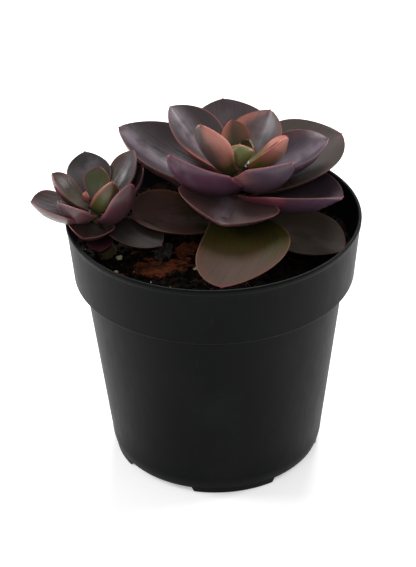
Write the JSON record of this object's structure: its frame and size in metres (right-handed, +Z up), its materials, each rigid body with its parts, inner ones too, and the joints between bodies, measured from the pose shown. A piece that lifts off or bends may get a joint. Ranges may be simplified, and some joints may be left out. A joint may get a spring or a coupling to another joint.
{
  "type": "potted succulent",
  "caption": "Rosette succulent in a round tapered nursery pot: purple-brown fleshy leaves with pink edges, and a small offset rosette leaning over the rim.",
  "frame": {"origin": "centre of the overall box in plan, at the level that the pot's feet stand on; the pot's own axis is at x = +5.6 mm, because the offset rosette overhangs the rim at -X", "axes": "+Z up the pot, +X to the plant's right as its large low leaf faces the viewer, -Y towards the viewer"},
  "size_m": [0.1132, 0.102, 0.127],
  "materials": {
    "pot_plastic": "matte black, slightly worn",
    "soil": "loose, fibrous, dark brown",
    "stem": "woody green-brown",
    "outer_leaf": "waxy, purple-brown with pink edge",
    "inner_leaf": "waxy, green and salmon with red tip",
    "low_leaf": "waxy, olive and brown",
    "bark": "rough red-brown",
    "dried_leaf": "papery, grey-brown",
    "perlite": "chalky white"
  },
  "bodies": {
    "root": {"pot": "pot_plastic", "soil": "soil", "main_stem": "stem", "offset_stem": "stem", "bark_chip_back": "bark", "bark_chip_front": "bark", "bud_leaf_a": "inner_leaf", "bud_leaf_b": "inner_leaf", "dried_leaf": "dried_leaf", "leaf_01": "inner_leaf", "leaf_02": "inner_leaf", "leaf_03": "inner_leaf", "leaf_04": "outer_leaf", "leaf_05": "inner_leaf", "leaf_06": "outer_leaf", "leaf_07": "outer_leaf", "leaf_08": "outer_leaf", "leaf_09": "outer_leaf", "leaf_10": "outer_leaf", "leaf_11": "outer_leaf", "leaf_12": "outer_leaf", "leaf_13": "outer_leaf", "leaf_14": "low_leaf", "leaf_15": "low_leaf", "leaf_16": "low_leaf", "leaf_17": "low_leaf", "leaf_18": "low_leaf", "offset_bud": "inner_leaf", "offset_leaf_01": "inner_leaf", "offset_leaf_02": "inner_leaf", "offset_leaf_03": "outer_leaf", "offset_leaf_04": "outer_leaf", "offset_leaf_05": "outer_leaf", "offset_leaf_06": "outer_leaf", "offset_leaf_07": "outer_leaf", "offset_leaf_08": "outer_leaf", "offset_leaf_09": "outer_leaf", "offset_leaf_10": "outer_leaf", "offset_leaf_11": "low_leaf", "offset_leaf_12": "low_leaf", "offset_leaf_13": "low_leaf", "offset_leaf_14": "low_leaf", "perlite_1": "perlite", "perlite_2": "perlite", "perlite_3": "perlite", "perlite_4": "perlite", "perlite_5": "perlite"}
  },
  "joints": []
}
